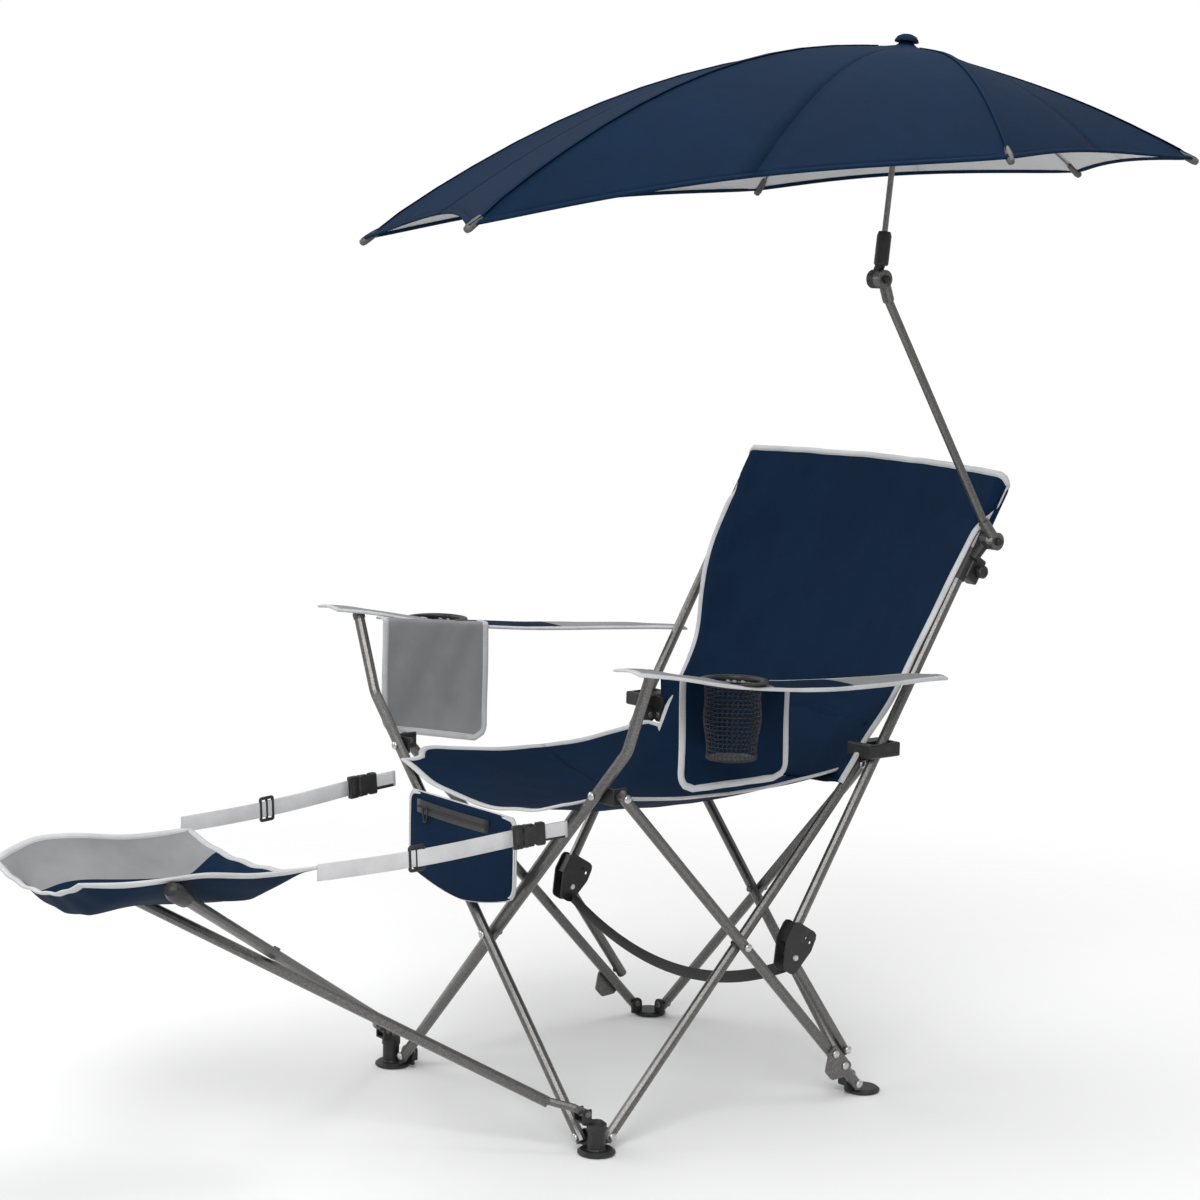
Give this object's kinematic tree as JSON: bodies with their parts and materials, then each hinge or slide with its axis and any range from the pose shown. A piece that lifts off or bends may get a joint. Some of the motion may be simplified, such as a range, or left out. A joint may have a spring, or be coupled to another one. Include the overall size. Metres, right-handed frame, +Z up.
{
  "type": "reclining camp chair with canopy",
  "caption": "Folding reclining camp chair with a fabric seat, cup-holder armrests, a hammock footrest and a tilting canopy clamped to its back post",
  "frame": {"origin": "middle of the whole chair's box, on the floor", "axes": "+Z up, the chair faces -Y, +X is the sitter's left"},
  "size_m": [1.0826, 1.6291, 1.5674],
  "materials": {
    "armrest_left": "matt",
    "armrest_right": "matt",
    "back_panel": "matt",
    "back_post_left": "satin",
    "back_post_right": "satin",
    "canopy_fabric": "matt",
    "canopy_runner": "matt",
    "canopy_shaft": "satin",
    "foot_front_left": "matt",
    "foot_front_right": "matt",
    "foot_rear_left": "matt",
    "foot_rear_right": "matt",
    "footrest_leg_left": "satin",
    "footrest_leg_right": "satin",
    "footrest_sling": "matt",
    "footrest_strap_left": "matt",
    "footrest_strap_right": "matt",
    "footrest_swivel_left": "matt",
    "footrest_swivel_right": "matt",
    "front_corner_link_left": "matt",
    "front_corner_link_right": "matt",
    "front_pouch": "matt",
    "front_tube_left_arm": "satin",
    "front_tube_right_arm": "satin",
    "knee_bracket_left": "matt",
    "knee_bracket_right": "matt",
    "knee_rivet_left": "matt",
    "knee_rivet_right": "matt",
    "knuckle_button_lower": "matt",
    "knuckle_button_upper": "matt",
    "rear_corner_guide_left": "matt",
    "rear_corner_guide_right": "matt",
    "rear_tube_left_foot": "satin",
    "rear_tube_right_foot": "satin",
    "recline_strap": "matt",
    "recline_strut_left": "satin",
    "recline_strut_right": "satin",
    "rib_front_left": "satin",
    "rib_front_right": "satin",
    "rib_rear_left": "satin",
    "rib_rear_right": "satin",
    "rib_side_left": "satin",
    "rib_side_right": "satin",
    "seat_sling_front": "matt",
    "seat_sling_rear": "matt",
    "shaft_sleeve": "matt",
    "side_tube_left_front_leg": "satin",
    "side_tube_left_rear_leg": "satin",
    "side_tube_right_front_leg": "satin",
    "side_tube_right_rear_leg": "satin",
    "strap_buckle_left": "matt",
    "strap_buckle_right": "matt",
    "stretcher_front_left": "satin",
    "stretcher_front_right": "satin",
    "stretcher_rear_left": "satin",
    "stretcher_rear_right": "satin",
    "stretcher_side_left": "satin",
    "stretcher_side_right": "satin",
    "umbrella_arm": "satin",
    "umbrella_clamp": "matt"
  },
  "bodies": {
    "front_left_foot": {"foot_front_left": "foot_front_left"},
    "front_right_foot": {"foot_front_right": "foot_front_right"},
    "rear_left_foot": {"foot_rear_left": "foot_rear_left"},
    "rear_right_foot": {"foot_rear_right": "foot_rear_right"},
    "front_tube_a": {"front_tube_right_arm": "front_tube_right_arm"},
    "front_tube_b": {"front_tube_left_arm": "front_tube_left_arm"},
    "left_side_c": {"side_tube_left_front_leg": "side_tube_left_front_leg"},
    "left_side_d": {"side_tube_left_rear_leg": "side_tube_left_rear_leg"},
    "rear_tube_e": {"rear_tube_left_foot": "rear_tube_left_foot"},
    "rear_tube_f": {"rear_tube_right_foot": "rear_tube_right_foot"},
    "right_side_c": {"side_tube_right_front_leg": "side_tube_right_front_leg"},
    "right_side_d": {"side_tube_right_rear_leg": "side_tube_right_rear_leg"},
    "front_left_link": {"front_corner_link_left": "front_corner_link_left", "strap_buckle_left": "strap_buckle_left", "front_pouch": "front_pouch"},
    "front_right_link": {"front_corner_link_right": "front_corner_link_right", "strap_buckle_right": "strap_buckle_right"},
    "rear_left_guide": {"rear_corner_guide_left": "rear_corner_guide_left"},
    "rear_right_guide": {"rear_corner_guide_right": "rear_corner_guide_right"},
    "seat_front": {"seat_sling_front": "seat_sling_front"},
    "seat_rear": {"seat_sling_rear": "seat_sling_rear"},
    "left_arm_band": {"armrest_left": "armrest_left"},
    "right_arm_band": {"armrest_right": "armrest_right"},
    "left_knee_rivet": {"knee_rivet_left": "knee_rivet_left"},
    "left_strut": {"recline_strut_left": "recline_strut_left"},
    "left_post": {"back_post_left": "back_post_left", "knee_bracket_left": "knee_bracket_left", "back_panel": "back_panel", "recline_strap": "recline_strap", "umbrella_clamp": "umbrella_clamp"},
    "right_knee_rivet": {"knee_rivet_right": "knee_rivet_right"},
    "right_strut": {"recline_strut_right": "recline_strut_right"},
    "right_post": {"back_post_right": "back_post_right", "knee_bracket_right": "knee_bracket_right"},
    "left_swivel": {"footrest_swivel_left": "footrest_swivel_left"},
    "right_swivel": {"footrest_swivel_right": "footrest_swivel_right"},
    "left_leg": {"footrest_leg_left": "footrest_leg_left"},
    "right_leg": {"footrest_leg_right": "footrest_leg_right"},
    "footrest": {"footrest_sling": "footrest_sling"},
    "left_strap": {"footrest_strap_left": "footrest_strap_left"},
    "right_strap": {"footrest_strap_right": "footrest_strap_right"},
    "umbrella_arm": {"umbrella_arm": "umbrella_arm"},
    "lower_button": {"knuckle_button_lower": "knuckle_button_lower"},
    "upper_button": {"knuckle_button_upper": "knuckle_button_upper"},
    "shaft_sleeve": {"shaft_sleeve": "shaft_sleeve"},
    "canopy": {"canopy_shaft": "canopy_shaft", "canopy_fabric": "canopy_fabric"},
    "runner": {"canopy_runner": "canopy_runner"},
    "rib_front_right": {"rib_front_right": "rib_front_right"},
    "stretcher_front_right": {"stretcher_front_right": "stretcher_front_right"},
    "rib_front_left": {"rib_front_left": "rib_front_left"},
    "stretcher_front_left": {"stretcher_front_left": "stretcher_front_left"},
    "rib_side_left": {"rib_side_left": "rib_side_left"},
    "stretcher_side_left": {"stretcher_side_left": "stretcher_side_left"},
    "rib_rear_left": {"rib_rear_left": "rib_rear_left"},
    "stretcher_rear_left": {"stretcher_rear_left": "stretcher_rear_left"},
    "rib_rear_right": {"rib_rear_right": "rib_rear_right"},
    "stretcher_rear_right": {"stretcher_rear_right": "stretcher_rear_right"},
    "rib_side_right": {"rib_side_right": "rib_side_right"},
    "stretcher_side_right": {"stretcher_side_right": "stretcher_side_right"}
  },
  "joints": [
    {"name": "fold", "type": "hinge", "parent": "front_left_foot", "child": "front_tube_a", "pos_m": [0.099, -0.0933, 0.02], "axis": [0, 1, 0], "range_deg": [0, 32], "deforming": ["seat_sling_front", "seat_sling_rear", "back_panel", "armrest_left", "armrest_right", "recline_strap", "front_pouch"]},
    {"name": "front_crossing", "type": "hinge", "parent": "front_tube_a", "child": "front_tube_b", "pos_m": [-0.131, -0.0933, 0.263], "axis": [0, 1, 0], "range_deg": [-64.5, 0.5]},
    {"name": "front_right_foot_pivot", "type": "hinge", "parent": "front_tube_b", "child": "front_right_foot", "pos_m": [-0.361, -0.077, 0.02], "axis": [0, 1, 0], "range_deg": [-0.5, 32.5]},
    {"name": "left_front_leg_pivot", "type": "hinge", "parent": "front_left_foot", "child": "left_side_c", "pos_m": [0.1195, -0.0565, 0.02], "axis": [1, 0, 0], "range_deg": [-0.5, 32.5]},
    {"name": "left_crossing", "type": "hinge", "parent": "left_side_c", "child": "left_side_d", "pos_m": [0.1358, 0.1735, 0.263], "axis": [1, 0, 0], "range_deg": [-64.5, 0.5]},
    {"name": "rear_left_foot_pivot", "type": "hinge", "parent": "left_side_d", "child": "rear_left_foot", "pos_m": [0.1358, 0.4035, 0.02], "axis": [1, 0, 0], "range_deg": [-0.5, 32.5]},
    {"name": "rear_tube_pivot", "type": "hinge", "parent": "rear_left_foot", "child": "rear_tube_e", "pos_m": [0.099, 0.424, 0.02], "axis": [0, 1, 0], "range_deg": [-0.5, 32.5]},
    {"name": "rear_crossing", "type": "hinge", "parent": "rear_tube_e", "child": "rear_tube_f", "pos_m": [-0.131, 0.4403, 0.263], "axis": [0, 1, 0], "range_deg": [-64.5, 0.5]},
    {"name": "rear_right_foot_pivot", "type": "hinge", "parent": "rear_tube_f", "child": "rear_right_foot", "pos_m": [-0.361, 0.4403, 0.02], "axis": [0, 1, 0], "range_deg": [-0.5, 32.5]},
    {"name": "right_front_leg_pivot", "type": "hinge", "parent": "front_right_foot", "child": "right_side_c", "pos_m": [-0.3815, -0.0565, 0.02], "axis": [1, 0, 0], "range_deg": [-0.5, 32.5]},
    {"name": "right_crossing", "type": "hinge", "parent": "right_side_c", "child": "right_side_d", "pos_m": [-0.3978, 0.1735, 0.263], "axis": [1, 0, 0], "range_deg": [-64.5, 0.5]},
    {"name": "front_left_link_pivot", "type": "hinge", "parent": "front_tube_b", "child": "front_left_link", "pos_m": [0.099, -0.077, 0.506], "axis": [0, 1, 0], "range_deg": [-0.5, 32.5]},
    {"name": "front_right_link_pivot", "type": "hinge", "parent": "front_tube_a", "child": "front_right_link", "pos_m": [-0.361, -0.0933, 0.506], "axis": [0, 1, 0], "range_deg": [-32.5, 0.5]},
    {"name": "rear_left_guide_pivot", "type": "hinge", "parent": "left_side_c", "child": "rear_left_guide", "pos_m": [0.1195, 0.4035, 0.506], "axis": [1, 0, 0], "range_deg": [-32.5, 0.5]},
    {"name": "rear_right_guide_pivot", "type": "hinge", "parent": "right_side_c", "child": "rear_right_guide", "pos_m": [-0.3815, 0.4035, 0.506], "axis": [1, 0, 0], "range_deg": [-32.5, 0.5]},
    {"name": "seat_front_drop", "type": "hinge", "parent": "front_left_link", "child": "seat_front", "pos_m": [-0.131, -0.0565, 0.506], "axis": [1, 0, 0], "range_deg": [-73.14, 0.5]},
    {"name": "seat_rear_drop", "type": "hinge", "parent": "rear_left_guide", "child": "seat_rear", "pos_m": [-0.131, 0.4035, 0.506], "axis": [1, 0, 0], "range_deg": [-0.5, 73.14]},
    {"name": "left_arm_band_pivot", "type": "hinge", "parent": "front_tube_b", "child": "left_arm_band", "pos_m": [0.2124, -0.077, 0.6885], "axis": [0, 1, 0], "range_deg": [-0.5, 32.5]},
    {"name": "right_arm_band_pivot", "type": "hinge", "parent": "front_tube_a", "child": "right_arm_band", "pos_m": [-0.4744, -0.0933, 0.6885], "axis": [0, 1, 0], "range_deg": [-32.5, 0.5]},
    {"name": "left_strut_pivot", "type": "hinge", "parent": "left_side_d", "child": "left_strut", "pos_m": [0.1358, 0.37511, 0.0785], "axis": [1, 0, 0], "range_deg": [-34.1, 0.5]},
    {"name": "recline", "type": "hinge", "parent": "left_side_d", "child": "left_knee_rivet", "pos_m": [0.1358, 0.17282, 0.67299], "axis": [1, 0, 0], "range_deg": [0, 14.4]},
    {"name": "left_knee_pivot", "type": "hinge", "parent": "left_knee_rivet", "child": "left_post", "pos_m": [0.1358, 0.26249, 0.23585], "axis": [1, 0, 0], "range_deg": [-0.5, 59.38]},
    {"name": "right_strut_pivot", "type": "hinge", "parent": "right_side_d", "child": "right_strut", "pos_m": [-0.3978, 0.37511, 0.0785], "axis": [1, 0, 0], "range_deg": [-34.1, 0.5]},
    {"name": "right_recline", "type": "hinge", "parent": "right_side_d", "child": "right_knee_rivet", "pos_m": [-0.3978, 0.17282, 0.67299], "axis": [1, 0, 0], "range_deg": [-0.5, 14.9]},
    {"name": "right_knee_pivot", "type": "hinge", "parent": "right_knee_rivet", "child": "right_post", "pos_m": [-0.3978, 0.26249, 0.23585], "axis": [1, 0, 0], "range_deg": [-0.5, 59.38]},
    {"name": "left_footrest_swivel", "type": "hinge", "parent": "front_left_foot", "child": "left_swivel", "pos_m": [0.1255, -0.084, 0.034], "axis": [0, 0, 1], "range_deg": [-0.5, 25.33]},
    {"name": "right_footrest_swivel", "type": "hinge", "parent": "front_right_foot", "child": "right_swivel", "pos_m": [-0.3875, -0.084, 0.034], "axis": [0, 0, 1], "range_deg": [-25.33, 0.5]},
    {"name": "footrest_lift", "type": "hinge", "parent": "left_swivel", "child": "left_leg", "pos_m": [0.117, -0.1025, 0.0615], "axis": [1, 0, 0], "range_deg": [-35, 0], "deforming": ["footrest_sling", "footrest_strap_left", "footrest_strap_right"]},
    {"name": "right_leg_lift", "type": "hinge", "parent": "right_swivel", "child": "right_leg", "pos_m": [-0.379, -0.1025, 0.0615], "axis": [1, 0, 0], "range_deg": [-35.5, 0.5]},
    {"name": "footrest_sling_turn", "type": "hinge", "parent": "left_leg", "child": "footrest", "pos_m": [-0.317, -0.72974, 0.43404], "axis": [0, 0, 1], "range_deg": [-25.33, 0.5]},
    {"name": "left_strap_pivot", "type": "hinge", "parent": "footrest", "child": "left_strap", "pos_m": [0.0471, -0.4985, 0.44], "axis": [1, 0, 0], "range_deg": [-31.3, 0.5]},
    {"name": "right_strap_pivot", "type": "hinge", "parent": "footrest", "child": "right_strap", "pos_m": [-0.3091, -0.4985, 0.44], "axis": [1, 0, 0], "range_deg": [-31.3, 0.5]},
    {"name": "arm_tilt", "type": "hinge", "parent": "left_post", "child": "umbrella_arm", "pos_m": [0.1735, 0.6115, 0.833], "axis": [-1, 0, 0], "range_deg": [-20, 30]},
    {"name": "canopy_tilt", "type": "hinge", "parent": "umbrella_arm", "child": "shaft_sleeve", "pos_m": [0.1735, 0.3605, 1.222], "axis": [1, 0, 0], "range_deg": [-35, 35]},
    {"name": "canopy_swivel", "type": "hinge", "parent": "shaft_sleeve", "child": "canopy", "pos_m": [0.1735, 0.3605, 1.222], "axis": [-0.0104, 0.1224, 0.9924], "range_deg": [-45, 45]},
    {"name": "lower_button_press", "type": "slide", "parent": "umbrella_arm", "child": "lower_button", "axis": [-1, 0, 0], "range_m": [0, 0.003], "stiffness_N_per_m": 900, "springref_m": -0.001},
    {"name": "upper_button_press", "type": "slide", "parent": "umbrella_arm", "child": "upper_button", "axis": [-1, 0, 0], "range_m": [0, 0.003], "stiffness_N_per_m": 900, "springref_m": -0.001},
    {"name": "canopy_close", "type": "slide", "parent": "canopy", "child": "runner", "axis": [0.0104, -0.1224, -0.9924], "range_m": [0, 0.14653], "deforming": ["canopy_fabric"]},
    {"name": "rib_front_right_fold", "type": "hinge", "parent": "canopy", "child": "rib_front_right", "pos_m": [0.16228, 0.38942, 1.54635], "axis": [0.8136, -0.576, 0.0795], "range_deg": [-0.5, 55.5]},
    {"name": "stretcher_front_right_fold", "type": "hinge", "parent": "rib_front_right", "child": "stretcher_front_right", "pos_m": [0.10805, 0.30568, 1.53861], "axis": [0.8136, -0.576, 0.0795], "range_deg": [-110.5, 0.5]},
    {"name": "rib_front_left_fold", "type": "hinge", "parent": "canopy", "child": "rib_front_left", "pos_m": [0.1704, 0.38694, 1.54675], "axis": [0.9997, 0.0216, 0.0078], "range_deg": [-0.5, 55.5]},
    {"name": "stretcher_front_left_fold", "type": "hinge", "parent": "rib_front_left", "child": "stretcher_front_left", "pos_m": [0.1761, 0.28717, 1.54161], "axis": [0.9997, 0.0216, 0.0078], "range_deg": [-110.5, 0.5]},
    {"name": "rib_side_left_fold", "type": "hinge", "parent": "canopy", "child": "rib_side_left", "pos_m": [0.18269, 0.39546, 1.54582], "axis": [0.3652, 0.9244, -0.1101], "range_deg": [-0.5, 55.5]},
    {"name": "stretcher_side_left_fold", "type": "hinge", "parent": "rib_side_left", "child": "stretcher_side_left", "pos_m": [0.27582, 0.36099, 1.53355], "axis": [0.3652, 0.9244, -0.1101], "range_deg": [-110.5, 0.5]},
    {"name": "rib_rear_left_fold", "type": "hinge", "parent": "canopy", "child": "rib_rear_left", "pos_m": [0.17865, 0.41073, 1.5439], "axis": [-0.7753, 0.6258, -0.0853], "range_deg": [-0.5, 55.5]},
    {"name": "stretcher_rear_left_fold", "type": "hinge", "parent": "rib_rear_left", "child": "stretcher_rear_left", "pos_m": [0.23831, 0.48666, 1.51766], "axis": [-0.7753, 0.6258, -0.0853], "range_deg": [-110.5, 0.5]},
    {"name": "rib_rear_right_fold", "type": "hinge", "parent": "canopy", "child": "rib_rear_right", "pos_m": [0.169, 0.41368, 1.54343], "axis": [-0.9965, -0.0841, 0], "range_deg": [-0.5, 55.5]},
    {"name": "stretcher_rear_right_fold", "type": "hinge", "parent": "rib_rear_right", "child": "stretcher_rear_right", "pos_m": [0.15747, 0.50865, 1.51411], "axis": [-0.9965, -0.0841, 0], "range_deg": [-110.5, 0.5]},
    {"name": "rib_side_right_fold", "type": "hinge", "parent": "canopy", "child": "rib_side_right", "pos_m": [0.15697, 0.40332, 1.54459], "axis": [-0.2242, -0.9675, 0.1169], "range_deg": [-0.5, 55.5]},
    {"name": "stretcher_side_right_fold", "type": "hinge", "parent": "rib_side_right", "child": "stretcher_side_right", "pos_m": [0.0604, 0.4196, 1.52407], "axis": [-0.2242, -0.9675, 0.1169], "range_deg": [-110.5, 0.5]}
  ],
  "couplings": [
    {"joint": "front_crossing", "follows": "fold", "ratio": -2},
    {"joint": "front_right_foot_pivot", "follows": "fold", "ratio": 1},
    {"joint": "left_front_leg_pivot", "follows": "fold", "ratio": 1},
    {"joint": "left_crossing", "follows": "fold", "ratio": -2},
    {"joint": "rear_left_foot_pivot", "follows": "fold", "ratio": 1},
    {"joint": "rear_tube_pivot", "follows": "fold", "ratio": 1},
    {"joint": "rear_crossing", "follows": "fold", "ratio": -2},
    {"joint": "rear_right_foot_pivot", "follows": "fold", "ratio": 1},
    {"joint": "right_front_leg_pivot", "follows": "fold", "ratio": 1},
    {"joint": "right_crossing", "follows": "fold", "ratio": -2},
    {"joint": "front_left_link_pivot", "follows": "fold", "ratio": 1},
    {"joint": "front_right_link_pivot", "follows": "fold", "ratio": -1},
    {"joint": "rear_left_guide_pivot", "follows": "fold", "ratio": -1},
    {"joint": "rear_right_guide_pivot", "follows": "fold", "ratio": -1},
    {"joint": "seat_front_drop", "follows": "fold", "ratio": -2.27},
    {"joint": "seat_rear_drop", "follows": "fold", "ratio": 2.27},
    {"joint": "left_arm_band_pivot", "follows": "fold", "ratio": 1},
    {"joint": "right_arm_band_pivot", "follows": "fold", "ratio": -1},
    {"joint": "left_strut_pivot", "follows": "recline", "ratio": -2.3333},
    {"joint": "left_knee_pivot", "follows": "fold", "ratio": 1.84},
    {"joint": "right_strut_pivot", "follows": "recline", "ratio": -2.3333},
    {"joint": "right_recline", "follows": "recline", "ratio": 1},
    {"joint": "right_knee_pivot", "follows": "fold", "ratio": 1.84},
    {"joint": "left_footrest_swivel", "follows": "fold", "ratio": 0.776},
    {"joint": "right_footrest_swivel", "follows": "fold", "ratio": -0.776},
    {"joint": "right_leg_lift", "follows": "footrest_lift", "ratio": 1},
    {"joint": "footrest_sling_turn", "follows": "fold", "ratio": -0.776},
    {"joint": "left_strap_pivot", "follows": "footrest_lift", "ratio": 0.88},
    {"joint": "right_strap_pivot", "follows": "footrest_lift", "ratio": 0.88},
    {"joint": "rib_front_right_fold", "follows": "canopy_close", "rad_per_m": 6.551},
    {"joint": "stretcher_front_right_fold", "follows": "canopy_close", "rad_per_m": -13.102},
    {"joint": "rib_front_left_fold", "follows": "canopy_close", "rad_per_m": 6.551},
    {"joint": "stretcher_front_left_fold", "follows": "canopy_close", "rad_per_m": -13.102},
    {"joint": "rib_side_left_fold", "follows": "canopy_close", "rad_per_m": 6.551},
    {"joint": "stretcher_side_left_fold", "follows": "canopy_close", "rad_per_m": -13.102},
    {"joint": "rib_rear_left_fold", "follows": "canopy_close", "rad_per_m": 6.551},
    {"joint": "stretcher_rear_left_fold", "follows": "canopy_close", "rad_per_m": -13.102},
    {"joint": "rib_rear_right_fold", "follows": "canopy_close", "rad_per_m": 6.551},
    {"joint": "stretcher_rear_right_fold", "follows": "canopy_close", "rad_per_m": -13.102},
    {"joint": "rib_side_right_fold", "follows": "canopy_close", "rad_per_m": 6.551},
    {"joint": "stretcher_side_right_fold", "follows": "canopy_close", "rad_per_m": -13.102}
  ]
}
